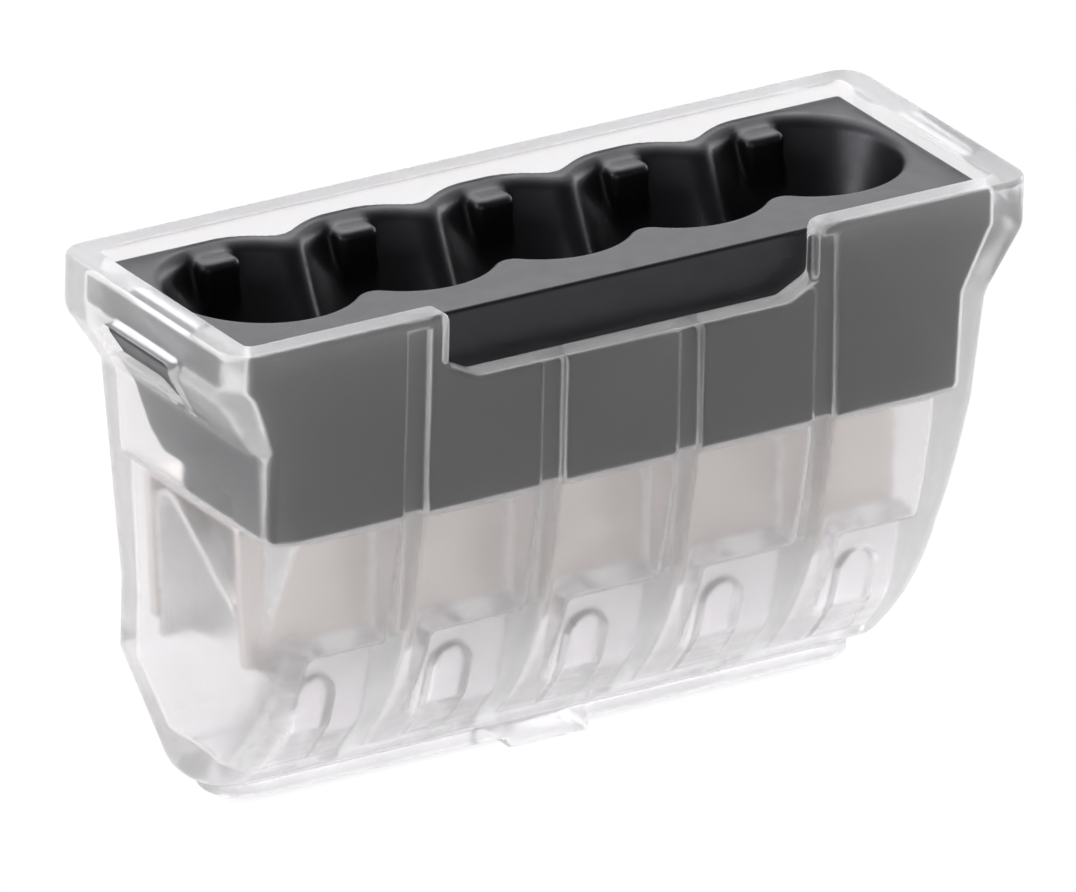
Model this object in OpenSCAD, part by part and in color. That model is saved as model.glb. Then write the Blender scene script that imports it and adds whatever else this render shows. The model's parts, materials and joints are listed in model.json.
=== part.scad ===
// Five-pole push-wire connector for solid conductors.
// A clear moulded housing holds a dark wire guide, one current bar and five
// bent clamping springs. Each conductor is pushed down through the guide, swings
// the spring's free leg back, and is pressed against the bar's front leg.
// The frame: X runs along the row of poles, the front faces -Y, +Z is up.
// The origin is under the middle of the foot.

/* [Poles] */
// Distance between neighbouring conductors
pitch = 5.1; // [5.0:0.05:5.3]
// Radius of the guide bore that takes the conductor's insulation
guide_bore_r = 2.1; // [1.9:0.05:2.1]
// Radius of the hole in the current bar that takes the bare conductor
contact_hole_r = 1.2; // [1.1:0.05:1.2]

/* [Housing] */
// Length over the top flange
body_l = 30; // [30:0.1:31]
// Depth from front to back
body_d = 10.6; // [10.6:0.1:11]
// Height from the foot to the rim
body_h = 17.9; // [17.8:0.1:18.5]
// Thickness of the front and back walls at the rim
wall = 0.95; // [0.8:0.05:1.0]
// Thickness of the end walls at the rim
end_wall = 1.15; // [1.0:0.05:1.3]
// Thickness of the partitions between the pole cells
partition_t = 0.7; // [0.6:0.05:0.9]
// Radius of the vertical corners seen from above
corner_r = 0.8; // [0.6:0.1:1.3]

/* [Front notch] */
// Half the width of the notch in the front rim
notch_half = 6.9; // [6:0.1:7]
// Depth of the notch below the rim
notch_depth = 2.4; // [2:0.1:2.6]

/* [Wire guide] */
// How far the guide's top lies below the rim
guide_drop = 0.45; // [0.3:0.05:0.6]
// Radius of a funnel at its mouth
mouth_r = 3.15; // [3:0.05:3.2]
// Clearance between the guide and the housing
guide_gap = 0.04; // [0.03:0.01:0.06]

/* [Metal parts] */
// Thickness of the current bar
bar_t = 0.4; // [0.35:0.05:0.5]
// Thickness of the spring strip
spring_t = 0.3; // [0.2:0.05:0.3]
// Width of the spring strip
spring_w = 3.0; // [2.8:0.1:3.1]

/* [Hidden] */

$fn = 64;
eps = 0.01;
poles = 5;

// Heights are measured up from the foot, depths back from the front face.
function up(below_rim) = body_h - below_rim;
function back(depth) = depth - body_d / 2;
function pole_x(i) = (i - (poles + 1) / 2) * pitch;

// Half lengths of the housing, from the rim down
half_rim = body_l / 2;
half_waist = half_rim - 1.38;
half_base = half_rim - 2.3;
flange_z = up(1.7);
waist_z = up(4.1);
base_z = up(11.7);

// Foot under the body
body_floor_z = up(17.1);
plinth_z = up(17.6);
foot_depth = 6.0;
plinth_r = 1.4;
plinth_half = 12;
boss_half = 1.5;

// Front face: upright to lean_z, then it leans back towards the foot
lean_z = up(7.3);
lean_h = lean_z - body_floor_z;
foot_front = 4.65;
lean_slope = 1.45;
lean_steps = 12;
// Back face: upright to chamfer_z, then slanted forward
chamfer_z = up(14.25);
foot_back = 7.6;

// Inner faces
cavity_half = half_rim - end_wall;
cavity_waist = half_waist - 0.82;
cavity_base = cavity_waist - 0.1;
cavity_taper_low_z = up(3.75);
cavity_taper_top_z = up(1.6);
shoulder_z = up(7.1);
cell_half = (pitch - partition_t) / 2;
cell_end = half_base - 0.8;
cell_floor_z = up(16.0);
cell_skin = 1.15;
back_skin = 1.15;

// Wedge at the lower front of each cell, with a cored arch. A gap on its left
// takes the finger of the current bar.
wedge_top_z = up(11.5);
wedge_back = 3.65;
gap_w = 0.95;
gap_low_z = up(14.7);
arch_w = 1.5;
arch_top_z = up(12.3);
arch_front = 2.85;
arch_skin = 0.6;
drain_w = 0.75;
drain_l = 2.0;
drain_h = 0.5;

// Latch windows in the end walls
window_front = 3.8;
window_back = 7.8;
window_top_z = up(1.55);
window_low_z = up(2.8);
kink_front = 4.4;
kink_back = 5.1;
kink_slant = 0.35;
kink_low_z = up(3.45);
window_gap = 0.08;

// Ribs on the inside of the front wall
rib_w = 0.85;
rib_t = 0.6;
rib_gap_side = 0.05;
rib_gap_back = 0.07;

// Wire guide
guide_top_z = up(guide_drop);
guide_low_z = shoulder_z + 0.05;
guide_plate_t = 1.15;
guide_wall = 0.4;
tube_wall = 0.5;
mouth_depth = 6.05;
bore_depth = 4.9;
bore_top_z = up(5.0);
front_slab = 3.0;
lug_w = 1.45;
lug_front = 8.15;
lug_top_z = guide_top_z - 0.15;
nose_recess = 0.12;
// End plate that carries the nose: straight lower edge, then it curves up
ear_root = cavity_waist - 0.5;
ear_low_z = up(6.05);
ear_curve = [[7.0, up(6.0)], [7.75, up(5.5)], [8.4, up(4.4)], [8.6, up(3.4)]];

// Current bar
bar_half = cell_end - 0.15;
bar_top_z = shoulder_z - 0.05;
bar_front = 3.3;
bar_back = 9.0;
front_leg_z = up(11.4);
back_leg_z = up(12.6);
finger_w = 0.7;
finger_z = up(12.4);
bar_r = 0.5;

// Springs
bend_r = 0.85;
bend_depth = bar_back - bar_t - bend_r;
bend_z = bar_top_z - bar_t - 0.15 - bend_r;
fixed_leg_z = up(13.2);
split_angle = 75;
split_gap = 2.5;
tongue_angle = 218;
tongue_l = 3.95;
bite_l = 0.5;
bite_angle = 16;

// Depth of the front face at height z
function front_at(z) =
    z >= lean_z ? 0
    : let (t = (lean_z - z) / lean_h)
      lean_slope * t + (foot_front - lean_slope) * pow(t, 3);
// Depth of the back face at height z
function back_at(z) =
    z >= chamfer_z ? body_d
    : body_d - (body_d - foot_back) * (chamfer_z - z) / (chamfer_z - body_floor_z);

// Depth at which a cell's floor begins
floor_front = front_at(cell_floor_z) + cell_skin;

module rounded_plan(l, d, r) {
    hl = l / 2 - r;
    hd = d / 2 - r;
    for (sx = [-1, 1], sy = [-1, 1])
        translate([sx * hl, sy * hd])
            circle(r);
    square([2 * hl, d], center = true);
    square([l, 2 * hd], center = true);
}

// Extrudes an outline drawn as (x, z) along the whole depth
module through_depth(y0, y1) {
    translate([0, y1, 0])
        rotate([90, 0, 0])
            linear_extrude(y1 - y0)
                children();
}

// Extrudes an outline drawn as (y, z) along X
module through_length(x0, x1) {
    translate([x0, 0, 0])
        rotate([90, 0, 90])
            linear_extrude(x1 - x0)
                children();
}

// Closes a list of (half length, z) points with its mirror image
function mirrored(pts) = concat(pts, [for (i = [len(pts) - 1 : -1 : 0]) [-pts[i][0], pts[i][1]]]);

// Outline seen from the front: rim flange, tapered waist, straight base
module end_outline(inset = 0) {
    polygon(mirrored([
        [half_base - inset, plinth_z - 1],
        [half_base - inset, base_z],
        [half_waist - inset, waist_z],
        [half_waist + 0.25 - inset, waist_z + 0.6],
        [half_rim - 0.3 - inset, flange_z - 0.5],
        [half_rim - inset, flange_z],
        [half_rim - inset, body_h + 1]
    ]));
}

module side_outline() {
    lean = [for (i = [0 : lean_steps])
        let (z = body_floor_z + lean_h * i / lean_steps)
        [back(front_at(z)), z]];
    polygon(concat(
        lean,
        [[back(0), body_h], [back(body_d), body_h], [back(body_d), chamfer_z]],
        [[back(foot_back), body_floor_z]]
    ));
}

module housing_outside() {
    intersection() {
        through_depth(-body_d, body_d) end_outline();
        through_length(-body_l, body_l) side_outline();
        union() {
            translate([0, 0, waist_z])
                linear_extrude(body_h - waist_z)
                    rounded_plan(body_l, body_d, corner_r);
            linear_extrude(waist_z + eps)
                rounded_plan(2 * half_waist, body_d, corner_r);
        }
    }
}

module housing_foot() {
    translate([0, back(foot_depth), plinth_z])
        linear_extrude(body_floor_z - plinth_z + eps)
            rounded_plan(2 * plinth_half, 2 * plinth_r, plinth_r - eps);
    translate([-boss_half, back(foot_depth - plinth_r - 0.2), 0])
        cube([2 * boss_half, 2 * plinth_r + 0.4, body_floor_z + eps]);
}

// Seat of the wire guide, open at the rim
module guide_seat(gap = 0) {
    through_depth(back(wall + gap), back(body_d - wall - gap))
        polygon(mirrored([
            [cavity_base - gap, shoulder_z + gap],
            [cavity_waist - gap, cavity_taper_low_z],
            [cavity_half - gap, cavity_taper_top_z],
            [cavity_half - gap, body_h + 1]
        ]));
}

// Side view of a cell: its front leans with the housing, behind the wedge below
module cell_outline() {
    steps = 10;
    below = [for (i = [0 : steps])
        let (z = cell_floor_z + (wedge_top_z - cell_floor_z) * i / steps)
        [back(max(wedge_back, front_at(z) + cell_skin)), z]];
    above = [for (i = [0 : steps])
        let (z = wedge_top_z + (shoulder_z - wedge_top_z) * i / steps)
        [back(front_at(z) + cell_skin), z]];
    polygon(concat(
        below,
        above,
        [[back(wall), shoulder_z + eps], [back(body_d - wall), shoulder_z + eps]],
        [[back(body_d - wall), chamfer_z], [back(back_at(cell_floor_z) - back_skin), cell_floor_z]]
    ));
}

// From a skin behind the front face to a given depth, drawn as (y, z)
module behind_front(skin, low_z, high_z, depth) {
    steps = 10;
    polygon(concat(
        [for (i = [0 : steps])
            let (z = low_z + (high_z - low_z) * i / steps)
            [back(front_at(z) + skin), z]],
        [[back(depth), high_z], [back(depth), low_z]]
    ));
}

module arch_outline() {
    arch_r = arch_w / 2;
    translate([-arch_r, cell_floor_z])
        square([arch_w, arch_top_z - arch_r - cell_floor_z]);
    translate([0, arch_top_z - arch_r])
        circle(arch_r);
}

// One pole's cell: from the guide's seat down to the floor
module cell(i) {
    x = pole_x(i);
    x0 = max(x - cell_half, -cell_end);
    x1 = min(x + cell_half, cell_end);
    through_length(x0, x1)
        cell_outline();
    through_length(x0, x0 + gap_w)
        behind_front(cell_skin, gap_low_z, wedge_top_z + eps, wedge_back + eps);
    intersection() {
        translate([x, 0, 0])
            through_depth(back(arch_front), back(floor_front) + eps)
                arch_outline();
        through_length(x0, x1)
            behind_front(arch_skin, cell_floor_z, arch_top_z, floor_front + eps);
    }
    translate([x1 - drain_w, back(floor_front), cell_floor_z - drain_h])
        cube([drain_w, drain_l, drain_h + eps]);
}

// Room for the current bar where it passes through the partitions
module bar_slot() {
    translate([-cell_end, back(bar_front - 0.1), front_leg_z - 0.1])
        cube([2 * cell_end, bar_back - bar_front + 0.2, shoulder_z - front_leg_z + 0.2]);
}

// Side view of a latch window: a slot with a lower corner at its front end
module window_outline(gap = 0) {
    polygon([
        [back(window_front + gap), window_top_z - gap],
        [back(window_back - gap), window_top_z - gap],
        [back(window_back - gap), window_low_z + gap],
        [back(kink_back + kink_slant - gap), window_low_z + gap],
        [back(kink_back - gap), kink_low_z + gap],
        [back(kink_front + gap), kink_low_z + gap]
    ]);
}

module latch_window(side) {
    x0 = side > 0 ? cavity_waist - 0.3 : -half_rim - 1;
    x1 = side > 0 ? half_rim + 1 : -cavity_waist + 0.3;
    through_length(x0, x1)
        window_outline();
}

module front_notch() {
    chamfer = [1.1, 0.55];
    through_depth(back(-1), back(wall) + eps)
        polygon(mirrored([
            [notch_half - chamfer[0], up(notch_depth)],
            [notch_half, up(notch_depth) + chamfer[1]],
            [notch_half, body_h + 1]
        ]));
}

// Ribs stop below the notch in the middle, and below the guide's top elsewhere
function rib_top(x) = abs(x) < notch_half ? up(notch_depth + 0.3) : up(guide_drop + 0.3);

// Upright rib on the inside of the front wall, at a partition
module front_rib(x) {
    translate([x - rib_w / 2, back(wall) - eps, shoulder_z - eps])
        cube([rib_w, rib_t + eps, rib_top(x) - shoulder_z + eps]);
}

module housing() {
    color([0.92, 0.92, 0.95, 0.35]) {
        difference() {
            union() {
                housing_outside();
                housing_foot();
            }
            guide_seat();
            for (i = [1 : poles])
                cell(i);
            bar_slot();
            front_notch();
            for (side = [-1, 1])
                latch_window(side);
        }
        for (i = [1 : poles - 1])
            front_rib(pole_x(i) + pitch / 2);
    }
}

// Axis from the bore's top to the mouth, leaning back
mouth_rise = guide_top_z - bore_top_z;
mouth_lean = mouth_depth - bore_depth;
funnel_tilt = atan2(mouth_lean, mouth_rise);
funnel_axis_l = norm([mouth_rise, mouth_lean]);

module funnel(i, grow, below, above) {
    slope = (mouth_r - guide_bore_r) / funnel_axis_l;
    translate([pole_x(i), back(bore_depth), bore_top_z])
        rotate([-funnel_tilt, 0, 0])
            translate([0, 0, -below])
                cylinder(
                    h = funnel_axis_l + below + above,
                    r1 = guide_bore_r + grow - slope * below,
                    r2 = mouth_r + grow + slope * above
                );
}

module guide_plate_plan() {
    difference() {
        translate([-cavity_half, back(wall)])
            square([2 * cavity_half, body_d - 2 * wall]);
        translate([-2 * pitch - 0.4, back(mouth_depth + 1)])
            square([4 * pitch + 0.8, body_d]);
    }
    for (i = [1 : poles])
        translate([pole_x(i), back(mouth_depth)])
            circle(mouth_r + guide_wall);
}

module guide_outside() {
    // top plate with a scalloped back edge
    translate([0, 0, guide_top_z - guide_plate_t])
        linear_extrude(guide_plate_t)
            guide_plate_plan();
    // front slab, as deep as the seat
    translate([-cavity_half, back(wall), guide_low_z])
        cube([2 * cavity_half, front_slab - wall, guide_top_z - guide_low_z]);
    for (i = [1 : poles]) {
        funnel(i, guide_wall, 0.6, 0.6);
        translate([pole_x(i), back(bore_depth), guide_low_z])
            cylinder(h = bore_top_z - guide_low_z, r = guide_bore_r + tube_wall);
    }
    for (side = [-1, 1])
        guide_ear(side);
}

module funnel_lug(i) {
    translate([pole_x(i) - lug_w / 2, back(lug_front), bore_top_z])
        cube([lug_w, body_d - wall - 0.3 - lug_front, lug_top_z - bore_top_z]);
}

// Snap nose at one end, which fills the latch window almost out to the end face
module guide_nose(side) {
    x0 = side > 0 ? ear_root : -half_rim;
    x1 = side > 0 ? half_rim : -ear_root;
    intersection() {
        through_length(x0, x1)
            window_outline(window_gap);
        through_depth(back(window_front), back(window_back))
            end_outline(nose_recess);
    }
}

// End plate behind the nose, as wide as the seat
module guide_ear(side) {
    x0 = side > 0 ? ear_root : -cavity_half;
    x1 = side > 0 ? cavity_half : -ear_root;
    through_length(x0, x1)
        polygon(concat(
            [[back(wall), guide_top_z], [back(wall), ear_low_z]],
            [for (p = ear_curve) [back(p[0]), p[1]]],
            [[back(ear_curve[len(ear_curve) - 1][0]), guide_top_z]]
        ));
}

// Groove that clears one rib of the housing's front wall
module rib_groove(x) {
    side = rib_w / 2 + rib_gap_side;
    translate([x - side, back(wall) - 1, guide_low_z - 1])
        cube([2 * side, 1 + rib_t + rib_gap_back, rib_top(x) + rib_gap_side - guide_low_z + 1]);
}

module wire_guide_insert() {
    color([0.09, 0.09, 0.10]) {
        difference() {
            union() {
                intersection() {
                    guide_outside();
                    guide_seat(guide_gap);
                    translate([-body_l, -body_d, 0])
                        cube([2 * body_l, 2 * body_d, guide_top_z]);
                }
                for (side = [-1, 1])
                    guide_nose(side);
            }
            difference() {
                for (i = [1 : poles])
                    funnel(i, 0, 0.2, 0.9);
                for (i = [1 : poles])
                    funnel_lug(i);
            }
            for (i = [1 : poles])
                translate([pole_x(i), back(bore_depth), guide_low_z - 1])
                    cylinder(h = bore_top_z - guide_low_z + 1.4, r = guide_bore_r);
            for (i = [1 : poles - 1])
                rib_groove(pole_x(i) + pitch / 2);
        }
    }
}

// Cross-section of the current bar, drawn as (y, z)
module bar_section() {
    difference() {
        union() {
            translate([back(bar_front), front_leg_z])
                square([bar_back - bar_front, bar_top_z - front_leg_z - bar_r]);
            translate([back(bar_front + bar_r), front_leg_z])
                square([bar_back - bar_front - 2 * bar_r, bar_top_z - front_leg_z]);
            for (y = [bar_front + bar_r, bar_back - bar_r])
                translate([back(y), bar_top_z - bar_r])
                    circle(bar_r);
            translate([back(bar_back - bar_t), back_leg_z])
                square([bar_t, front_leg_z - back_leg_z + eps]);
        }
        translate([back(bar_front + bar_t), back_leg_z - 1])
            square([bar_back - bar_front - 2 * bar_t, bar_top_z - bar_t - back_leg_z + 1]);
    }
}

module current_bar() {
    color([0.72, 0.66, 0.60]) {
        difference() {
            through_length(-bar_half, bar_half) bar_section();
            for (i = [1 : poles])
                translate([pole_x(i), back(bore_depth), bar_top_z - bar_t - 1])
                    cylinder(h = bar_t + 2, r = contact_hole_r);
            for (i = [1 : poles - 1])
                translate([pole_x(i) + pitch / 2 - partition_t / 2 - 0.1, back(bar_back) - 1, back_leg_z - 1])
                    cube([partition_t + 0.2, 2, front_leg_z - back_leg_z + 1]);
        }
        for (i = [1 : poles])
            translate([max(pole_x(i) - cell_half + 0.1, -bar_half), back(bar_front), finger_z])
                cube([finger_w, bar_t, front_leg_z - finger_z + eps]);
    }
}

// Part of the spring's bend, a ring sector between two angles from +Y
module bend_sector(a0, a1) {
    steps = 16;
    outer = [for (k = [0 : steps]) let (a = a0 + (a1 - a0) * k / steps) bend_r * [cos(a), sin(a)]];
    inner = [for (k = [steps : -1 : 0])
        let (a = a0 + (a1 - a0) * k / steps)
        (bend_r - spring_t) * [cos(a), sin(a)]];
    polygon(concat(outer, inner));
}

module clamp_spring(i) {
    color([0.78, 0.78, 0.79])
        through_length(pole_x(i) - spring_w / 2, pole_x(i) + spring_w / 2)
            translate([back(bend_depth), bend_z]) {
                bend_sector(0, split_angle);
                translate([bend_r - spring_t, fixed_leg_z - bend_z])
                    square([spring_t, bend_z - fixed_leg_z + eps]);
            }
}

// The free leg, straight from the bend to a turned-down edge that bites
module spring_tongue(i) {
    leave = tongue_angle - 90;
    color([0.70, 0.70, 0.72])
        through_length(pole_x(i) - spring_w / 2 + 0.1, pole_x(i) + spring_w / 2 - 0.1)
            translate([back(bend_depth), bend_z]) {
                bend_sector(split_angle + split_gap, leave);
                rotate(leave)
                    translate([bend_r - spring_t, -eps])
                        square([spring_t, tongue_l + eps]);
                rotate(leave)
                    translate([bend_r - spring_t, tongue_l])
                        rotate(bite_angle)
                            translate([0, -0.05])
                                square([spring_t, bite_l + 0.05]);
            }
}

housing();
wire_guide_insert();
current_bar();
clamp_spring(1);  // clamp_spring_1
clamp_spring(2);  // clamp_spring_2
clamp_spring(3);  // clamp_spring_3
clamp_spring(4);  // clamp_spring_4
clamp_spring(5);  // clamp_spring_5
spring_tongue(1);  // spring_tongue_1
spring_tongue(2);  // spring_tongue_2
spring_tongue(3);  // spring_tongue_3
spring_tongue(4);  // spring_tongue_4
spring_tongue(5);  // spring_tongue_5
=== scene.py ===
"""A five-way push-wire connector: clear housing, dark wire guide, current bar, five springs.

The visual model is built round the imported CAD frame. A moulded or stamped piece is first a
signed distance, negative inside, in millimetres along the frame's own axes, and then a mesh
on its zero level. Heights are written as depths below the rim, and depths in Y as distances
behind the front face, the way the part would be dimensioned on a drawing.
"""

import itertools
import json
import math

import bpy
import numpy as np
from mathutils import Matrix, Vector


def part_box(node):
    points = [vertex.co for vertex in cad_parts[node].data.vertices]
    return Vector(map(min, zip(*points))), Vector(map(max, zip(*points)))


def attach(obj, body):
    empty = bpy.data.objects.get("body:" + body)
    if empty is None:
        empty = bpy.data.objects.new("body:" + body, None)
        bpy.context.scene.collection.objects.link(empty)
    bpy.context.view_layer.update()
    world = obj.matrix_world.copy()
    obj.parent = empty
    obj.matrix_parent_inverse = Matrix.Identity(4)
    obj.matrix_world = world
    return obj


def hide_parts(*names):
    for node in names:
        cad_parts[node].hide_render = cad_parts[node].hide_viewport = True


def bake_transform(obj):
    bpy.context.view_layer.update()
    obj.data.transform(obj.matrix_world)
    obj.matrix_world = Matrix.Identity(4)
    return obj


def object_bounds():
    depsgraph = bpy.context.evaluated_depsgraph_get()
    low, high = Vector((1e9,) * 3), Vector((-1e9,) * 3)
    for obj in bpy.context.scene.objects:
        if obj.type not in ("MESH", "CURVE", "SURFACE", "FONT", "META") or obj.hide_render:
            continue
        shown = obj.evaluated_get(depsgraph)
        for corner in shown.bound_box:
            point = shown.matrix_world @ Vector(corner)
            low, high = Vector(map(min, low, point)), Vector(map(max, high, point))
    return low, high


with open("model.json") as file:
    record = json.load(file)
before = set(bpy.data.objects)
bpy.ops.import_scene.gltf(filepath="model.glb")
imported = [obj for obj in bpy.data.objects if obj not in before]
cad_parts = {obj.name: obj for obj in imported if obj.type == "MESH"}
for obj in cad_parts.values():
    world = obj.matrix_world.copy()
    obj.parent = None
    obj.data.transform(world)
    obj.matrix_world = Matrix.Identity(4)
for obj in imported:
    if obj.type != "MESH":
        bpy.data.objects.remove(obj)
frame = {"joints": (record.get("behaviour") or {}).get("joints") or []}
cad_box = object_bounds()

# ---------------------------------------------------------------- sizes, in millimetres

MM = 0.001


def box_mm(node):
    """Lowest and highest corner of a CAD node, in millimetres."""
    return [np.array(corner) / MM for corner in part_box(node)]


BODY_L, BODY_D, BODY_H = (np.array(cad_box[1]) - np.array(cad_box[0])) / MM
HINGES = [Vector(joint["pos_m"]) / MM for joint in frame["joints"]]
POLES = len(HINGES)
PITCH = (HINGES[-1].x - HINGES[0].x) / (POLES - 1)
LAST_POLE = POLES // 2
LAST_POLE_X = PITCH * LAST_POLE
GUIDE_LOW, GUIDE_HIGH = box_mm("wire_guide_insert")
BAR_LOW, BAR_HIGH = box_mm("current_bar")
SPRING_LOW, SPRING_HIGH = box_mm("clamp_spring_1")


def up(below_rim):
    """Height of what lies below_rim under the rim."""
    return BODY_H - below_rim


def back(depth):
    """Y of what lies depth behind the front face."""
    return depth - BODY_D / 2


# Edges and fillets, from the sharpest to the softest
HAIR_R = 0.05
FINE_R = 0.1
SOFT_R = 0.2
ROUND_R = 0.3

# How far a cut or a boss runs on, past the face where it ends
PAST = 1.0
FAR = 60.0

# Housing outside
CORNER_R = 1.0
RIM_EDGE_R = 0.16
FLOOR_EDGE_R = 0.45
HALF_RIM = BODY_L / 2
HALF_WAIST = HALF_RIM - 1.38
HALF_BASE = HALF_RIM - 2.3
FLANGE_Z = up(1.8)
WAIST_Z = up(3.85)
BASE_Z = up(11.7)
FLANGE_R = 0.9
BODY_FLOOR_Z = up(17.1)
PLINTH_Z = up(17.6)
FOOT_DEPTH = 6.0
PLINTH_R = 1.4
PLINTH_HALF = 12.0
BOSS_HALF = 1.5
BOSS_PROUD = 0.2
FOOT_EDGE_R = 0.15
LEAN_Z = up(7.3)
LEAN_H = LEAN_Z - BODY_FLOOR_Z
LEAN_SLOPE = 1.45
FOOT_FRONT = 4.65
CHAMFER_Z = up(14.25)
FOOT_BACK = 7.6
CHAMFER_SLOPE = (BODY_D - FOOT_BACK) / (CHAMFER_Z - BODY_FLOOR_Z)

# Housing inside
WALL = 0.95
CAVITY_HALF = HALF_RIM - 1.15
CAVITY_WAIST = HALF_WAIST - 0.82
CAVITY_BASE = CAVITY_WAIST - 0.1
CAVITY_TAPER_LOW_Z = up(3.75)
CAVITY_TAPER_TOP_Z = up(1.6)
SHOULDER_Z = up(7.1)
PARTITION_T = 0.7
CELL_HALF = (PITCH - PARTITION_T) / 2
CELL_END = HALF_BASE - 0.8
CELL_FLOOR_Z = up(16.0)
CELL_SKIN = 1.15
CELL_CORNER_R = 0.25
CELL_EDGE_R = 0.12
WEDGE_TOP_Z = up(11.5)
WEDGE_BACK = 3.65
GAP_W = 0.95
ARCH_R = 0.75
ARCH_TOP_Z = up(12.3)
ARCH_FRONT = 2.85
ARCH_SKIN = 0.6
DRAIN_W = 0.75
DRAIN_L = 2.0
DRAIN_H = 0.5
NOTCH_HALF = 6.9
NOTCH_DEPTH = 2.4
NOTCH_CUT_W = 1.1
NOTCH_CUT_H = 0.55
NOTCH_BACK = WALL + 0.5
RIM_CORNER_R = 0.35
WINDOW_FRONT = 3.8
WINDOW_BACK = 7.8
WINDOW_TOP_Z = up(1.55)
WINDOW_LOW_Z = up(2.8)
KINK_FRONT = 4.4
KINK_BACK = 5.1
KINK_SLANT = 0.35
KINK_LOW_Z = up(3.45)
WINDOW_R = 0.15
RIB_W = 0.85
RIB_T = 0.6
RIB_DROP = 0.3
RIB_ROOT = 0.1
RIB_EDGE_R = 0.06
RIB_GAP = 0.05

# Wire guide
GUIDE_GAP = 0.04
GUIDE_TOP_Z = GUIDE_HIGH[2]
GUIDE_CORNER_R = 0.15
GUIDE_PLATE_T = 1.15
MOUTH_R = 3.15
MOUTH_DEPTH = 6.05
BORE_R = 2.1
BORE_DEPTH = 4.9
BORE_TOP_Z = up(5.0)
FUNNEL_WALL = 0.4
FUNNEL_JOIN_R = 0.4
TUBE_WALL = 0.5
PLATE_BACK = MOUTH_DEPTH + 1
PLATE_CORNER = 0.4
VALLEY_R = 0.9
FRONT_SLAB = 3.0
LIP_R = 0.32
CUSP_R = 0.75
LUG_HALF = 0.725
LUG_FRONT = 8.15
LUG_TOP_Z = GUIDE_TOP_Z - 0.15
LUG_EDGE_R = 0.3
WINDOW_GAP = 0.08
NOSE_RECESS = 0.2
EAR_ROOT = CAVITY_WAIST - 0.5
EAR_LOW_Z = up(6.05)
EAR_CURVE = [(7.0, up(6.0)), (7.75, up(5.5)), (8.4, up(4.4)), (8.6, up(3.4))]
EAR_R = 0.4

# Metal parts
BAR_T = 0.4
BAR_R = 0.5
BAR_GAP = 0.1
BAR_EDGE_R = 0.08
STAMPED_R = 0.06
CONTACT_R = 1.2
FRONT_LEG_Z = up(11.4)
FINGER_W = 0.7
FINGER_Z = up(12.4)
SPRING_T = 0.3
SPRING_W = 2.9
SPRING_EDGE_R = 0.08
BEND_R = SPRING_HIGH[1] - HINGES[0].y - SPRING_T / 2
BEND_STEPS = 16
TONGUE_LEAVE = 128
TONGUE_L = 3.95
BITE_L = 0.5
BITE_STEP = 0.1
BITE_ANGLE = 16

# Meshes: grid steps, and the angles in degrees above which an edge is sharp and below
# which two faces are one
HOUSING_STEP = 0.13
GUIDE_STEP = 0.11
BAR_STEP = 0.09
SHARP_ANGLE = 50
FLAT_ANGLE = 0.15

# Brightness of the studio in front of the part and behind it
FRONT_SKY = 0.12
BACK_SKY = 1.62

# Painted shadow, dimmed into the floor's glow and hidden from the camera by the part: its darkness,
# its slant along the line of sight, and where its ends, front and back fade, in millimetres
SHADOW = 0.5
SHADOW_LEAN = 0.65
SHADOW_ENDS = (9.5, 12.0)
SHADOW_FRONT = (-0.5, 1.0)
SHADOW_BACK = (1.0, 7.0)

# Scattering inside the clear plastic, per metre
HAZE_DENSITY = 140


# ---------------------------------------------------------------- signed distances


def both(a, b, r=0.0):
    """What lies in a and in b, with the edge between them rounded to radius r."""
    if r == 0:
        return np.maximum(a, b)
    return np.minimum(-r, np.maximum(a, b)) + np.hypot(np.maximum(a + r, 0), np.maximum(b + r, 0))


def either(a, b, r=0.0):
    """What lies in a or in b, with a fillet of radius r where they meet."""
    return -both(-a, -b, r)


def without(a, b, r=0.0):
    """What lies in a and not in b, with the new edges rounded to radius r."""
    return both(a, -b, r)


def slab(u, low, high):
    """What lies between two parallel planes."""
    return np.abs(u - (low + high) / 2) - (high - low) / 2


def block(x, y, z, low, high, r=0.0):
    """A box between two corners, with all its edges rounded to radius r."""
    spans = [slab(u, a, b) + r for u, a, b in zip((x, y, z), low, high)]
    outer = [np.maximum(s, 0) for s in spans]
    inner = np.maximum(np.maximum(spans[0], spans[1]), spans[2])
    return np.sqrt(outer[0] ** 2 + outer[1] ** 2 + outer[2] ** 2) + np.minimum(inner, 0) - r


def outline(u, v, points):
    """Distance from (u, v) to the closed line through the points."""
    nearest, inside = None, False
    for (au, av), (bu, bv) in zip(points, points[1:] + points[:1]):
        eu, ev = bu - au, bv - av
        wu, wv = u - au, v - av
        t = np.clip((wu * eu + wv * ev) / (eu * eu + ev * ev), 0, 1)
        gap = (wu - eu * t) ** 2 + (wv - ev * t) ** 2
        nearest = gap if nearest is None else np.minimum(nearest, gap)
        if ev != 0:
            inside = inside ^ (((av > v) != (bv > v)) & (u < eu / ev * (v - av) + au))
    return np.where(inside, -1, 1) * np.sqrt(nearest)


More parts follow.
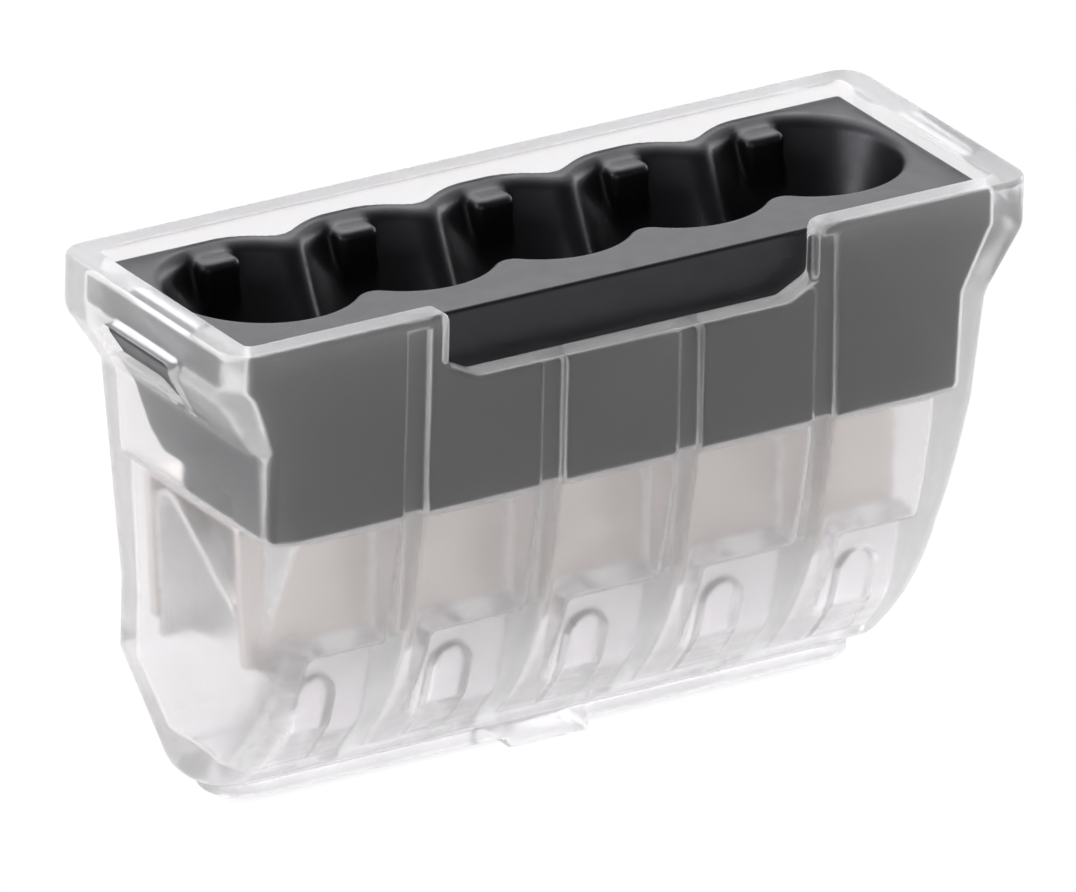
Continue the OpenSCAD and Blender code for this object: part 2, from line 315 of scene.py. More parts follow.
def rounded(points, radius, steps=6):
    """The closed line through the points with each corner rounded, or as much as fits."""
    nearly_straight = math.radians(88)
    most_of_edge = 0.45
    line = []
    for i, corner in enumerate(points):
        p = np.array(corner, float)
        to_last = np.array(points[i - 1], float) - p
        to_next = np.array(points[(i + 1) % len(points)], float) - p
        reach = most_of_edge * min(np.linalg.norm(to_last), np.linalg.norm(to_next))
        to_last /= np.linalg.norm(to_last)
        to_next /= np.linalg.norm(to_next)
        half = math.acos(np.clip(to_last @ to_next, -1, 1)) / 2
        if half > nearly_straight:
            line.append(tuple(p))
            continue
        cut = min(radius / math.tan(half), reach)
        r = cut * math.tan(half)
        middle = p + (to_last + to_next) / np.linalg.norm(to_last + to_next) * r / math.sin(half)
        a, b = p + to_last * cut - middle, p + to_next * cut - middle
        swing = math.pi - 2 * half
        for k in range(steps + 1):
            t = k / steps
            turned = (a * math.sin((1 - t) * swing) + b * math.sin(t * swing)) / math.sin(swing)
            line.append(tuple(middle + turned))
    return line


def to_pole(x):
    """x measured from the nearest pole."""
    return x - PITCH * np.clip(np.rint(x / PITCH), -LAST_POLE, LAST_POLE)


def to_partition(x):
    """x measured from the nearest partition between two poles."""
    last = LAST_POLE - 0.5
    return x - PITCH * np.clip(np.floor(x / PITCH) + 0.5, -last, last)


# ---------------------------------------------------------------- housing


def front_at(z):
    """Depth of the housing's front face: upright, then leaning back towards the foot."""
    t = max(LEAN_Z - z, 0) / LEAN_H
    return LEAN_SLOPE * t + (FOOT_FRONT - LEAN_SLOPE) * t**3


def lean_line(skin, low_z, high_z, steps=14):
    """Points on the front face moved inwards by skin, from low_z up to high_z."""
    heights = [low_z + (high_z - low_z) * k / steps for k in range(steps + 1)]
    return [(back(front_at(z) + skin), z) for z in heights]


def end_faces(x, z):
    """The housing's two ends: rim flange, tapered waist, straight base."""
    return outline(np.abs(x), z, rounded([
        (-FAR, -FAR), (HALF_BASE, -FAR), (HALF_BASE, BASE_Z), (HALF_WAIST, WAIST_Z),
        (HALF_RIM, FLANGE_Z), (HALF_RIM, FAR), (-FAR, FAR),
    ], FLANGE_R))


def housing_walls(x, y, z):
    """The outer faces, open at the top and bottom."""
    below = 2.0
    faces = outline(y, z, lean_line(0, BODY_FLOOR_Z - below, LEAN_Z) + [
        (back(0), FAR), (back(BODY_D), FAR), (back(BODY_D), CHAMFER_Z),
        (back(FOOT_BACK - CHAMFER_SLOPE * below), BODY_FLOOR_Z - below),
    ])
    return both(end_faces(x, z), faces, CORNER_R)


def housing_foot(x, y, z):
    """The long oval plinth that the part stands on, with a boss in its middle."""
    sideways = np.maximum(np.abs(x) - (PLINTH_HALF - PLINTH_R), 0)
    plinth = np.hypot(sideways, y - back(FOOT_DEPTH)) - PLINTH_R
    plinth = both(plinth, slab(z, PLINTH_Z, BODY_FLOOR_Z + PAST), FOOT_EDGE_R)
    reach = PLINTH_R + BOSS_PROUD
    boss = block(
        x, y, z,
        (-BOSS_HALF, back(FOOT_DEPTH - reach), 0),
        (BOSS_HALF, back(FOOT_DEPTH + reach), BODY_FLOOR_Z + PAST),
        FOOT_EDGE_R,
    )
    return either(plinth, boss, FOOT_EDGE_R)


def rim_cut(x, y, z):
    """Everything above the rim, and the notch in the front wall."""
    notch = outline(np.abs(x), z, rounded([
        (-FAR, up(NOTCH_DEPTH)), (NOTCH_HALF - NOTCH_CUT_W, up(NOTCH_DEPTH)),
        (NOTCH_HALF, up(NOTCH_DEPTH) + NOTCH_CUT_H), (NOTCH_HALF, FAR), (-FAR, FAR),
    ], ROUND_R))
    notch = both(notch, y - back(NOTCH_BACK))
    return either(BODY_H - z, notch, RIM_CORNER_R)


def guide_seat(x, y, z, gap=0.0, r=SOFT_R):
    """The upper hollow, or the guide that fills it but for the gap."""
    ends = outline(np.abs(x), z, rounded([
        (-FAR, SHOULDER_Z + gap), (CAVITY_BASE - gap, SHOULDER_Z + gap),
        (CAVITY_WAIST - gap, CAVITY_TAPER_LOW_Z), (CAVITY_HALF - gap, CAVITY_TAPER_TOP_Z),
        (CAVITY_HALF - gap, FAR), (-FAR, FAR),
    ], ROUND_R))
    return both(ends, slab(y, back(WALL + gap), back(BODY_D - WALL - gap)), r)


def cells(x, y, z):
    """The five cells under the guide.

    A wedge of plastic fills the low front of each cell, but for a gap at its left. An arched
    pocket in the wedge leaves a thin skin at the front. A drain goes into the floor, and the
    bar's slot runs across all the cells.
    """
    floor_back = BODY_D - CHAMFER_SLOPE * (CHAMFER_Z - CELL_FLOOR_Z) - CELL_SKIN
    floor_front = front_at(CELL_FLOOR_Z) + CELL_SKIN
    across = to_pole(x)
    left = np.maximum(-CELL_HALF, -CELL_END - (x - across))
    side = outline(y, z, rounded(lean_line(CELL_SKIN, CELL_FLOOR_Z, SHOULDER_Z) + [
        (back(WALL), SHOULDER_Z + PAST), (back(BODY_D - WALL), SHOULDER_Z + PAST),
        (back(BODY_D - WALL), CHAMFER_Z), (back(floor_back), CELL_FLOOR_Z),
    ], CELL_CORNER_R))
    room = both(side, np.abs(across) - CELL_HALF, ROUND_R)
    wedge = both(z - WEDGE_TOP_Z, y - back(WEDGE_BACK), FINE_R)
    room = without(room, both(wedge, left + GAP_W - across, CELL_CORNER_R), CELL_EDGE_R)
    skin = outline(y, z, lean_line(ARCH_SKIN, CELL_FLOOR_Z - PAST, LEAN_Z) + [
        (back(floor_front), LEAN_Z), (back(floor_front), CELL_FLOOR_Z - PAST),
    ])
    arch = np.hypot(across, np.maximum(z - (ARCH_TOP_Z - ARCH_R), 0)) - ARCH_R
    arch = both(both(arch, CELL_FLOOR_Z - z, FINE_R), both(skin, back(ARCH_FRONT) - y), FINE_R)
    drain = block(
        across, y, z,
        (CELL_HALF - DRAIN_W, back(floor_front), CELL_FLOOR_Z - DRAIN_H),
        (CELL_HALF, back(floor_front + DRAIN_L), CELL_FLOOR_Z + PAST / 2),
    )
    room = either(either(room, arch, CELL_EDGE_R), drain, HAIR_R)
    slot = block(
        x, y, z,
        (-FAR, BAR_LOW[1] - BAR_GAP, FRONT_LEG_Z - BAR_GAP),
        (FAR, BAR_HIGH[1] + BAR_GAP, SHOULDER_Z + PAST / 2),
    )
    return both(either(room, slot, CELL_EDGE_R), np.abs(x) - CELL_END, ROUND_R)


def window_slot(y, z):
    """Side view of a latch window: a slot with a lower corner at its front end."""
    return outline(y, z, rounded([
        (back(WINDOW_FRONT), WINDOW_TOP_Z), (back(WINDOW_BACK), WINDOW_TOP_Z),
        (back(WINDOW_BACK), WINDOW_LOW_Z), (back(KINK_BACK + KINK_SLANT), WINDOW_LOW_Z),
        (back(KINK_BACK), KINK_LOW_Z), (back(KINK_FRONT), KINK_LOW_Z),
    ], WINDOW_R))


def latch_windows(x, y, z):
    """The window at each end, cut through the end wall."""
    inside_wall = 0.3
    return both(window_slot(y, z), CAVITY_WAIST - inside_wall - np.abs(x))


def rib_top(x):
    """Height of the ribs, a drop below the notch along it and below the guide beside it."""
    return np.where(np.abs(x) < NOTCH_HALF, up(NOTCH_DEPTH + RIB_DROP), GUIDE_TOP_Z - RIB_DROP)


def front_ribs(x, y, z):
    """Upright ribs on the inside of the front wall, one at each partition."""
    across = np.abs(to_partition(x)) - RIB_W / 2
    rib = both(across, slab(y, back(WALL - RIB_ROOT), back(WALL + RIB_T)), RIB_EDGE_R)
    return both(rib, slab(z, SHOULDER_Z - RIB_GAP, rib_top(x)), RIB_EDGE_R)


def housing(x, y, z):
    """The clear shell, with everything that is moulded in one piece with it."""
    solid = without(housing_walls(x, y, z), rim_cut(x, y, z), RIM_EDGE_R)
    solid = both(solid, BODY_FLOOR_Z - z, FLOOR_EDGE_R)
    solid = either(solid, housing_foot(x, y, z), FINE_R)
    hollow = either(guide_seat(x, y, z), cells(x, y, z), FINE_R)
    solid = without(solid, hollow, RIM_EDGE_R)
    solid = without(solid, latch_windows(x, y, z), HAIR_R)
    return either(solid, front_ribs(x, y, z), HAIR_R)


# ---------------------------------------------------------------- wire guide


def funnel(across, y, z):
    """Inside of one funnel and its bore, across being measured from the pole."""
    rise = np.clip((z - BORE_TOP_Z) / (GUIDE_TOP_Z - BORE_TOP_Z), 0, 1.5)
    radius = BORE_R + (MOUTH_R - BORE_R) * rise
    depth = BORE_DEPTH + (MOUTH_DEPTH - BORE_DEPTH) * rise
    slope = math.cos(math.atan((MOUTH_R - BORE_R) / (GUIDE_TOP_Z - BORE_TOP_Z)))
    return (np.hypot(across, y - back(depth)) - radius) * slope


def funnels(x, y, z, grow=0.0, r=0.0):
    """All the funnels, grown by a wall, with radius r where neighbours meet."""
    across = np.abs(to_pole(x))
    own = funnel(across, y, z) - grow
    next_one = funnel(PITCH - across, y, z) - grow
    beyond = np.abs(x) > LAST_POLE_X
    return np.where(beyond, own, either(own, next_one, r))


def mouth_plan(x, y):
    """The guide's top plate seen from above: full at the front, scalloped at the back."""
    across = np.abs(to_pole(x))
    lip_r = MOUTH_R + FUNNEL_WALL
    own = np.hypot(across, y - back(MOUTH_DEPTH)) - lip_r
    next_one = np.hypot(PITCH - across, y - back(MOUTH_DEPTH)) - lip_r
    beyond = np.abs(x) > LAST_POLE_X
    lips = np.where(beyond, own, either(own, next_one, VALLEY_R))
    front = y - back(PLATE_BACK)
    corners = LAST_POLE_X + PLATE_CORNER - np.abs(x)
    return either(lips, np.minimum(front, corners), SOFT_R)


def lugs(x, y, z):
    """The ledge at the back of each funnel."""
    across = to_pole(x)
    return block(
        across, y, z,
        (-LUG_HALF, back(LUG_FRONT), BORE_TOP_Z - PAST),
        (LUG_HALF, back(BODY_D + PAST), LUG_TOP_Z),
        LUG_EDGE_R,
    )


def guide_noses(x, y, z):
    """The snap nose at each end, which fills the housing's window."""
    face = both(end_faces(x, z) + NOSE_RECESS, EAR_ROOT - np.abs(x))
    return both(window_slot(y, z) + WINDOW_GAP, face, FINE_R)


def guide_ears(x, y, z):
    """The end plates that carry the noses: straight below, then curving up at the back."""
    plate = outline(y, z, rounded(
        [(back(0), FAR), (back(0), EAR_LOW_Z)]
        + [(back(depth), height) for depth, height in EAR_CURVE]
        + [(back(EAR_CURVE[-1][0]), FAR)],
        EAR_R,
    ))
    return both(plate, EAR_ROOT - np.abs(x), FINE_R)


def rib_grooves(x, y, z):
    """The grooves in the guide's front that clear the housing's ribs."""
    deep_gap = 0.07
    across = np.abs(to_partition(x)) - RIB_W / 2 - RIB_GAP
    reach = both(y - back(WALL + RIB_T + deep_gap), z - rib_top(x) - RIB_GAP)
    return both(across, reach, HAIR_R)


def wire_guide(x, y, z):
    """The dark insert: plate, front slab, funnels on tubes, end plates and noses."""
    tube_overlap, shell_overlap = 0.5, 0.6
    plate = both(mouth_plan(x, y), GUIDE_TOP_Z - GUIDE_PLATE_T - z, SOFT_R)
    slab_front = y - back(FRONT_SLAB)
    tube = np.hypot(to_pole(x), y - back(BORE_DEPTH)) - (BORE_R + TUBE_WALL)
    tube = both(tube, z - BORE_TOP_Z - tube_overlap)
    shell = funnels(x, y, z, FUNNEL_WALL, FUNNEL_JOIN_R)
    shell = both(shell, BORE_TOP_Z - shell_overlap - z)
    solid = either(either(plate, slab_front, ROUND_R), either(tube, shell, ROUND_R), SOFT_R)
    solid = either(solid, guide_ears(x, y, z), FINE_R)
    solid = both(solid, z - GUIDE_TOP_Z, FINE_R)
    solid = both(solid, guide_seat(x, y, z, GUIDE_GAP, GUIDE_CORNER_R), FINE_R)
    solid = either(solid, guide_noses(x, y, z), HAIR_R)
    inner = without(funnels(x, y, z, 0.0, CUSP_R), lugs(x, y, z), SOFT_R)
    solid = without(solid, inner, LIP_R)
    return without(solid, rib_grooves(x, y, z), HAIR_R)


# ---------------------------------------------------------------- metal parts


def current_bar(x, y, z):
    """The bent strip: a web with a hole per pole, a front leg with fingers, a back leg."""
    low, high = BAR_LOW, BAR_HIGH
    outer = both(slab(y, low[1], high[1]), z - high[2], BAR_R)
    inner = both(slab(y, low[1] + BAR_T, high[1] - BAR_T), z - (high[2] - BAR_T), BAR_R - BAR_T)
    across = to_pole(x)
    middle = (low[1] + high[1]) / 2
    front_leg = both(FRONT_LEG_Z - z, y - middle)
    left = np.maximum(-CELL_HALF + BAR_GAP, low[0] - (x - across))
    finger = np.maximum(left - across, across - left - FINGER_W)
    finger = both(finger, both(FINGER_Z - z, y - middle))
    partition = np.abs(to_partition(x)) - (PITCH / 2 - CELL_HALF + BAR_GAP)
    back_leg = both(both(low[2] - z, middle - y), -both(partition, z - FRONT_LEG_Z))
    stamped = either(either(front_leg, finger, FINE_R), back_leg)
    strip = both(without(outer, inner), stamped, STAMPED_R)
    strip = both(strip, np.abs(x) - high[0], BAR_EDGE_R)
    hole = np.hypot(across, y - back(BORE_DEPTH)) - CONTACT_R
    return without(strip, both(hole, high[2] - PAST - z), BAR_EDGE_R)


def spring_path(hinge):
    """Middle line of one spring, as (y, z) points: fixed leg, bend, free leg, biting edge."""
    rise = hinge.z - SPRING_LOW[2]
    line = [np.array((hinge.y + BEND_R, SPRING_LOW[2] + rise * t)) for t in (0, 0.5, 0.9)]
    for k in range(BEND_STEPS + 1):
        a = math.radians(TONGUE_LEAVE * k / BEND_STEPS)
        line.append(np.array((hinge.y + BEND_R * math.cos(a), hinge.z + BEND_R * math.sin(a))))
    steps = [
        (0, TONGUE_L / 2), (0, TONGUE_L / 2 - BITE_STEP),
        (BITE_ANGLE / 2, BITE_STEP), (BITE_ANGLE, BITE_STEP), (BITE_ANGLE, BITE_L - BITE_STEP),
    ]
    heading = math.radians(TONGUE_LEAVE + 90)
    for turn, length in steps:
        a = heading + math.radians(turn)
        line.append(line[-1] + length * np.array((math.cos(a), math.sin(a))))
    return line


# ---------------------------------------------------------------- meshes


def surface_net(shape, low, high, step):
    """Points and quads on the zero level of shape(x, y, z).

    Each grid cell that the level cuts gets one point, the mean of where the level crosses
    the cell's edges. Each cut edge gets one quad, through the four cells round it. The
    margin is no whole number of steps, so that flat faces miss the grid's points.
    """
    margin = 2.37
    axes = [
        np.arange(a - margin * step, b + margin * step, step, dtype=np.float32)
        for a, b in zip(low, high)
    ]
    sizes = [len(a) for a in axes]
    x, y, z = np.ix_(*axes)
    field = np.broadcast_to(shape(x, y, z), sizes)
    inside = field < 0
    full = np.zeros([n - 1 for n in sizes], np.uint8)
    for i, j, k in itertools.product((0, 1), repeat=3):
        full += inside[i:sizes[0] - 1 + i, j:sizes[1] - 1 + j, k:sizes[2] - 1 + k]
    cut_cells = np.argwhere((full > 0) & (full < 8))
    index = np.full(full.shape, -1)
    index[tuple(cut_cells.T)] = np.arange(len(cut_cells))
    total, count = np.zeros(cut_cells.shape), np.zeros(len(cut_cells))
    quads = []
    for axis in range(3):
        others = [(axis + 1) % 3, (axis + 2) % 3]
        ahead = np.eye(3, dtype=int)[axis]
        for offset in itertools.product((0, 1), repeat=2):
            start = cut_cells.copy()
            start[:, others] += offset
            f0, f1 = field[tuple(start.T)], field[tuple((start + ahead).T)]
            crossed = (f0 < 0) != (f1 < 0)
            point = start[crossed].astype(float)
            point[:, axis] += f0[crossed] / (f0[crossed] - f1[crossed])
            total[crossed] += point
            count[crossed] += 1

        near = tuple(slice(None, -1) if a == axis else slice(1, -1) for a in range(3))
        far = tuple(slice(1, None) if a == axis else slice(1, -1) for a in range(3))
        edges = np.argwhere(inside[near] != inside[far])
        edges[:, others] += 1
        ring = []
        for b, c in ((-1, -1), (0, -1), (0, 0), (-1, 0)):
            cell = edges.copy()
            cell[:, others[0]] += b
            cell[:, others[1]] += c
            ring.append(index[tuple(cell.T)])
        ring = np.stack(ring, 1)
        outward = inside[tuple(edges.T)]
        quads.append(np.where(outward[:, None], ring, ring[:, ::-1]))
    origin = np.array([a[0] for a in axes], float)
    return origin + step * total / count[:, None], np.concatenate(quads)


def on_surface(shape, points, reach):
    """The points moved down or up the slope of shape(x, y, z) onto its zero level."""
    probe, least_steep = 0.02, 0.5
    here = shape(*points.T)
    ahead = [shape(*(points + probe * step).T) - here for step in np.eye(3)]
    slope = np.stack(ahead, 1) / probe
    steepness = np.maximum(np.linalg.norm(slope, axis=1), least_steep)
    move = np.clip(here / steepness, -reach, reach)
    return points - slope / steepness[:, None] * move[:, None]


def solid_piece(name, shape, low, high, step):
    """A mesh of the solid that shape describes, with its flat areas merged."""
    points, quads = surface_net(shape, low, high, step)
    points = on_surface(shape, points, step / 2)
    mesh = bpy.data.meshes.new(name)
    mesh.from_pydata(points, [], quads)
    piece = bpy.data.objects.new(name, mesh)
    bpy.context.scene.collection.objects.link(piece)
    thin = piece.modifiers.new("thin", "DECIMATE")
    thin.decimate_type = "DISSOLVE"
    thin.angle_limit = math.radians(FLAT_ANGLE)
    graph = bpy.context.evaluated_depsgraph_get()
    thinned = bpy.data.meshes.new_from_object(piece.evaluated_get(graph))
    piece.modifiers.clear()
    piece.data = thinned
    thinned.name = name
    thinned.transform(Matrix.Scale(MM, 4))
    thinned.shade_smooth()
    thinned.set_sharp_from_angle(angle=math.radians(SHARP_ANGLE))
    return piece


def strip_section(half_w, half_t, r):
    """Section of a strip as (across, out) points, with rounded corners."""
    section = []
    for side_w, side_t, start in ((1, 1, 0), (-1, 1, 90), (-1, -1, 180), (1, -1, 270)):
        for step in (0, 30, 60, 90):
            a = math.radians(start + step)
            across = side_w * (half_w - r) + r * math.cos(a)
            section.append((across, side_t * (half_t - r) + r * math.sin(a)))
    return section


def strip_stations(line, half_w, half_t, r):
    """Where the sections of a strip stand: index, centre, and the section's size there."""
    last = len(line) - 1
    first_run, last_run = line[1] - line[0], line[last - 1] - line[last]
    from_first = first_run * r / np.linalg.norm(first_run)
    from_last = last_run * r / np.linalg.norm(last_run)
    narrow, full = (half_w - r, half_t - r), (half_w, half_t)
    stations = [(0, line[0], narrow), (0, line[0] + from_first, full)]
    stations += [(i, line[i], full) for i in range(1, last)]
    return stations + [(last, line[last] + from_last, full), (last, line[last], narrow)]


def strip_piece(name, x, width, line, thickness, r):
    """A flat strip along a (y, z) line, with rounded long edges and bevelled ends."""
    half_w, half_t = width / 2, thickness / 2
    section = strip_section(half_w, half_t, r)
    stations = strip_stations(line, half_w, half_t, r)
    verts = []
    for i, centre, (reach_w, reach_t) in stations:
        ahead = line[min(i + 1, len(line) - 1)] - line[max(i - 1, 0)]
        ahead = ahead / np.linalg.norm(ahead)
        side = np.array((-ahead[1], ahead[0]))
        for across, out in section:
            p = centre + side * out * reach_t / half_t
            verts.append((x + across * reach_w / half_w, p[0], p[1]))
    n = len(section)
    faces = [
        (i * n + k, i * n + (k + 1) % n, (i + 1) * n + (k + 1) % n, (i + 1) * n + k)
        for i in range(len(stations) - 1) for k in range(n)
    ]
    faces.append(tuple(range(n))[::-1])
    faces.append(tuple(range(len(verts) - n, len(verts))))
    mesh = bpy.data.meshes.new(name)
    mesh.from_pydata([tuple(c * MM for c in v) for v in verts], [], faces)
    mesh.update()
    mesh.shade_smooth()
    mesh.set_sharp_from_angle(angle=math.radians(SHARP_ANGLE))
    piece = bpy.data.objects.new(name, mesh)
    bpy.context.scene.collection.objects.link(piece)
    return piece


# ---------------------------------------------------------------- materials


class Nodes:
    """A material's node tree, with short calls for the nodes used here."""

    def __init__(self, name):
        self.material = bpy.data.materials.new(name)
        self.material.use_nodes = True
        self.tree = self.material.node_tree
        self.shader = self.tree.nodes["Principled BSDF"]
        self.place = self.tree.nodes.new("ShaderNodeTexCoord").outputs["Object"]

    def set(self, **values):
        """Values of the shader's own sockets, with _ for each space in a name."""
        for name, value in values.items():
            self.shader.inputs[name.replace("_", " ")].default_value = value

    def link(self, output, socket):
        """An output into one of the shader's sockets."""
        self.tree.links.new(output, self.shader.inputs[socket])

    def noise(self, size_mm, stretch=None):
        """Noise whose features are about size_mm across, drawn out where stretch is small."""
        place = self.place
        if stretch is not None:
            mapping = self.tree.nodes.new("ShaderNodeMapping")
            mapping.inputs["Scale"].default_value = stretch
            self.tree.links.new(place, mapping.inputs["Vector"])
            place = mapping.outputs["Vector"]
        node = self.tree.nodes.new("ShaderNodeTexNoise")
        node.inputs["Scale"].default_value = 1 / (size_mm * MM)
        node.inputs["Detail"].default_value = 3.0
        node.inputs["Roughness"].default_value = 0.5
        self.tree.links.new(place, node.inputs["Vector"])
        return node.outputs["Fac"]

    def span(self, factor, low, high):
        """Noise, most of which is between 0.3 and 0.7, as a number from low to high."""
        node = self.tree.nodes.new("ShaderNodeMapRange")
        node.inputs["From Min"].default_value = 0.3
        node.inputs["From Max"].default_value = 0.7
        node.inputs["To Min"].default_value = low
        node.inputs["To Max"].default_value = high
        self.tree.links.new(factor, node.inputs["Value"])
        return node.outputs["Result"]

    def blend(self, factor, first, second):
        """A colour from first to second."""
        node = self.tree.nodes.new("ShaderNodeMix")
        node.data_type = "RGBA"
        self.tree.links.new(factor, node.inputs["Factor"])
        node.inputs["A"].default_value = (*first, 1)
        node.inputs["B"].default_value = (*second, 1)
        return node.outputs["Result"]

    def math(self, operation, first, second=None):
        """A sum or other operation on outputs and numbers."""
        node = self.tree.nodes.new("ShaderNodeMath")
        node.operation = operation
        for socket, value in zip(node.inputs, (first, second)):
            if isinstance(value, (int, float)):
                socket.default_value = value
            elif value is not None:
                self.tree.links.new(value, socket)
        return node.outputs["Value"]

    def ramp(self, value, low_mm, high_mm, first, last):
        """first up to low_mm, last from high_mm on, and a smooth change between."""
        node = self.tree.nodes.new("ShaderNodeMapRange")
        node.interpolation_type = "SMOOTHSTEP"
        node.inputs["From Min"].default_value = low_mm * MM
        node.inputs["From Max"].default_value = high_mm * MM
        node.inputs["To Min"].default_value = first
        node.inputs["To Max"].default_value = last
        self.tree.links.new(value, node.inputs["Value"])
        return node.outputs["Result"]

    def haze(self, colour, density, forward):
        """A faint scattering inside the material, with density in parts per metre."""
        node = self.tree.nodes.new("ShaderNodeVolumeScatter")
        node.inputs["Color"].default_value = (*colour, 1)
        node.inputs["Density"].default_value = density
        node.inputs["Anisotropy"].default_value = forward
        out = self.tree.nodes["Material Output"]
        self.tree.links.new(node.outputs["Volume"], out.inputs["Volume"])

    def bump(self, height, depth_mm, strength):
        """A texture depth_mm deep, faded by strength."""
        node = self.tree.nodes.new("ShaderNodeBump")
        node.inputs["Distance"].default_value = depth_mm * MM
        node.inputs["Strength"].default_value = strength
        self.tree.links.new(height, node.inputs["Height"])
        return node.outputs["Normal"]


def clear_plastic():
    """Clear polycarbonate from a finely textured mould."""
    n = Nodes("clear_plastic")
    n.set(Base_Color=(0.97, 0.955, 0.965, 1), Transmission_Weight=1.0, IOR=1.42)
    n.haze((0.99, 0.985, 0.99), HAZE_DENSITY, 0.3)
    n.link(n.span(n.noise(2.5), 0.19, 0.26), "Roughness")
    n.link(n.bump(n.noise(0.25), 0.004, 0.5), "Normal")
    return n.material


def dark_plastic():
    """Dark grey polyamide with a satin spark-eroded texture."""
    n = Nodes("dark_plastic")
    n.set(Specular_Tint=(0.93, 0.93, 1.0, 1), Specular_IOR_Level=0.46)
    n.link(n.blend(n.noise(1.5), (0.003, 0.003, 0.0035), (0.006, 0.006, 0.007)), "Base Color")
    n.link(n.span(n.noise(0.8), 0.32, 0.42), "Roughness")
    n.link(n.bump(n.noise(0.09), 0.006, 0.6), "Normal")
    return n.material


def tinned_copper():
    """Tin-plated copper strip, dull, with rolling marks along its length."""
    n = Nodes("tinned_copper")
    n.set(Metallic=1.0)
    n.link(n.blend(n.noise(1.2), (0.72, 0.67, 0.63), (0.84, 0.80, 0.77)), "Base Color")
    n.link(n.span(n.noise(0.5, stretch=(0.1, 1, 1)), 0.30, 0.45), "Roughness")
    n.link(n.bump(n.noise(0.12, stretch=(0.05, 1, 1)), 0.003, 0.5), "Normal")
    return n.material


def spring_steel():
    """Stainless spring strip, brushed across its width."""
    n = Nodes("spring_steel")
    n.set(Metallic=1.0)
    n.link(n.blend(n.noise(0.8), (0.72, 0.71, 0.71), (0.82, 0.81, 0.81)), "Base Color")
    n.link(n.span(n.noise(0.4, stretch=(1, 0.1, 0.1)), 0.22, 0.36), "Roughness")
    n.link(n.bump(n.noise(0.08, stretch=(1, 0.05, 0.05)), 0.002, 0.5), "Normal")
    return n.material


def pale_floor():
    """A white floor that glows by itself, with a soft shadow painted into its glow under and behind
    the part.
    """
    n = Nodes("pale_floor")
    n.set(Base_Color=(0.02, 0.02, 0.02, 1), Roughness=1.0, Specular_IOR_Level=0.0)
    n.set(Emission_Color=(1, 1, 1, 1))
    parts = n.tree.nodes.new("ShaderNodeSeparateXYZ")
    n.tree.links.new(n.place, parts.inputs["Vector"])
    x, y = parts.outputs["X"], parts.outputs["Y"]
    # Painted shadow: a mask that dims the floor's glow under and behind the part
    along = n.math("ABSOLUTE", n.math("SUBTRACT", x, n.math("MULTIPLY", y, SHADOW_LEAN)))
    ends = n.ramp(along, *SHADOW_ENDS, SHADOW, 0)
    front = n.ramp(y, *SHADOW_FRONT, 0, 1)
    rear = n.ramp(y, *SHADOW_BACK, 1, 0)
    painted_shade = n.math("MULTIPLY", ends, n.math("MULTIPLY", front, rear))
    n.link(n.math("SUBTRACT", 1.0, painted_shade), "Emission Strength")
    return n.material


# ---------------------------------------------------------------- pieces


def finish_piece(piece, material):
    """The piece's only material."""
    piece.data.materials.clear()
    piece.data.materials.append(material)


def make_mouldings():
    """The housing, the guide and the bar, which all stay still."""
    coarser = 1.0
    body_low = (-BODY_L / 2, -BODY_D / 2, 0)
    body_high = (BODY_L / 2, BODY_D / 2, BODY_H)
    shell = solid_piece("clear_housing", housing, body_low, body_high, HOUSING_STEP * coarser)
    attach(shell, "root")
    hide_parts("housing")
    finish_piece(shell, clear_plastic())

    guide = solid_piece("dark_wire_guide", wire_guide, GUIDE_LOW, GUIDE_HIGH, GUIDE_STEP * coarser)
    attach(guide, "root")
    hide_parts("wire_guide_insert")
    finish_piece(guide, dark_plastic())

    bar = solid_piece("tinned_current_bar", current_bar, BAR_LOW, BAR_HIGH, BAR_STEP * coarser)
    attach(bar, "root")
    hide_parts("current_bar")
    finish_piece(bar, tinned_copper())


def make_springs():
    """Five springs, each one strip that bends between its fixed leg and its tongue."""
    steel = spring_steel()
    for i, hinge in enumerate(HINGES, 1):
        line = spring_path(hinge)
        spring = strip_piece(f"spring_{i}", hinge.x, SPRING_W, line, SPRING_T, SPRING_EDGE_R)
        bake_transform(spring)
        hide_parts(f"clamp_spring_{i}", f"spring_tongue_{i}")
        finish_piece(spring, steel)


# ---------------------------------------------------------------- studio


def make_camera():
    """A long lens from the front left, looking down on the rim.

    Lengths are in millimetres. The aim is how far the middle of the picture lies to the
    right of and above the middle of the rim's front edge.
    """
    turn, down, roll = math.radians(33.12), math.radians(23.55), math.radians(1.375)
    distance, lens, sensor = 941.6, 1003.7, 36.0
    aim_right, aim_up = -3.126, -5.54
    away = Vector((-math.sin(turn) * math.cos(down), -math.cos(turn) * math.cos(down), math.sin(down)))
    level = Vector((math.cos(turn), -math.sin(turn), 0))
    upright = away.cross(level)
    right = math.cos(roll) * level + math.sin(roll) * upright
    top = -math.sin(roll) * level + math.cos(roll) * upright
    rim_front = Vector((0, back(0), BODY_H))
    place = (rim_front + away * distance + right * aim_right + top * aim_up) * MM
    data = bpy.data.cameras.new("camera")
    data.lens = lens
    data.sensor_width = sensor
    data.clip_start = 0.01
    data.clip_end = 50
    camera = bpy.data.objects.new("camera", data)
    rows = Matrix((right, top, away)).transposed().to_4x4()
    camera.matrix_world = Matrix.Translation(place) @ rows
    bpy.context.scene.collection.objects.link(camera)
    bpy.context.scene.camera = camera


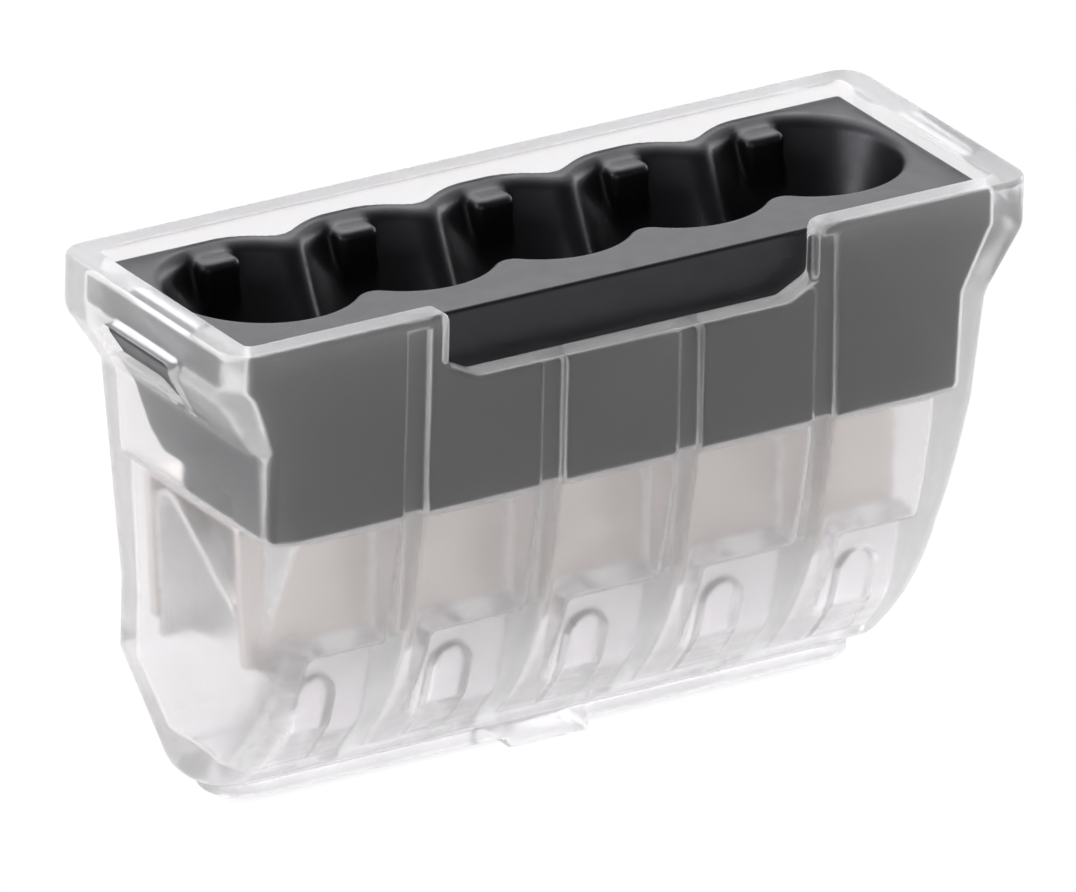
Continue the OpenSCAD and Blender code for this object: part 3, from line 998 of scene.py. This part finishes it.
def make_sky():
    """Light from all round, dim in front of the part and bright behind it.

    The change is spread over a direction's Y, which runs from -1 in front to 1 behind.
    """
    dim_until, bright_from = -0.6, 0.5
    world = bpy.data.worlds.new("studio")
    world.use_nodes = True
    tree = world.node_tree
    direction = tree.nodes.new("ShaderNodeTexCoord").outputs["Generated"]
    parts = tree.nodes.new("ShaderNodeSeparateXYZ")
    glow = tree.nodes.new("ShaderNodeMapRange")
    glow.interpolation_type = "SMOOTHSTEP"
    glow.inputs["From Min"].default_value = dim_until
    glow.inputs["From Max"].default_value = bright_from
    glow.inputs["To Min"].default_value = FRONT_SKY
    glow.inputs["To Max"].default_value = BACK_SKY
    tree.links.new(direction, parts.inputs["Vector"])
    tree.links.new(parts.outputs["Y"], glow.inputs["Value"])
    sky = tree.nodes["Background"]
    sky.inputs["Color"].default_value = (0.97, 0.97, 1.0, 1)
    tree.links.new(glow.outputs["Result"], sky.inputs["Strength"])
    bpy.context.scene.world = world


def make_floor():
    """A square floor, far wider than any view of the part."""
    half = 3.0
    mesh = bpy.data.meshes.new("floor")
    corners = [(-half, -half, 0), (half, -half, 0), (half, half, 0), (-half, half, 0)]
    mesh.from_pydata(corners, [], [(0, 1, 2, 3)])
    floor = bpy.data.objects.new("floor", mesh)
    floor.data.materials.append(pale_floor())
    bpy.context.scene.collection.objects.link(floor)


def area_light(name, place, size, power):
    """A rectangular light at place, in metres, turned to the middle of the part."""
    data = bpy.data.lights.new(name, "AREA")
    data.shape = "RECTANGLE"
    data.size, data.size_y = size
    data.energy = power
    light = bpy.data.objects.new(name, data)
    light.location = place
    middle = Vector((0, 0, BODY_H * MM / 2))
    light.rotation_euler = (middle - Vector(place)).to_track_quat("-Z", "Y").to_euler()
    bpy.context.scene.collection.objects.link(light)


def make_studio():
    """Sky, floor and lights, and enough light bounces for clear walls one behind another."""
    scene = bpy.context.scene
    scene.view_settings.view_transform = "Standard"
    scene.cycles.max_bounces = 32
    scene.cycles.glossy_bounces = 24
    scene.cycles.transmission_bounces = 24
    scene.cycles.volume_bounces = 6
    make_sky()
    make_floor()
    area_light("top_softbox", (0.1, 0.35, 0.6), (0.8, 0.6), 4.0)
    area_light("left_fill", (-0.8, 0.1, 0.14), (0.5, 0.25), 3.2)
    area_light("right_fill", (0.8, 0.1, 0.14), (0.5, 0.25), 1.8)
    area_light("front_fill", (-0.45, -0.8, 0.12), (0.7, 0.2), 1.6)


make_mouldings()
make_springs()
make_camera()
make_studio()
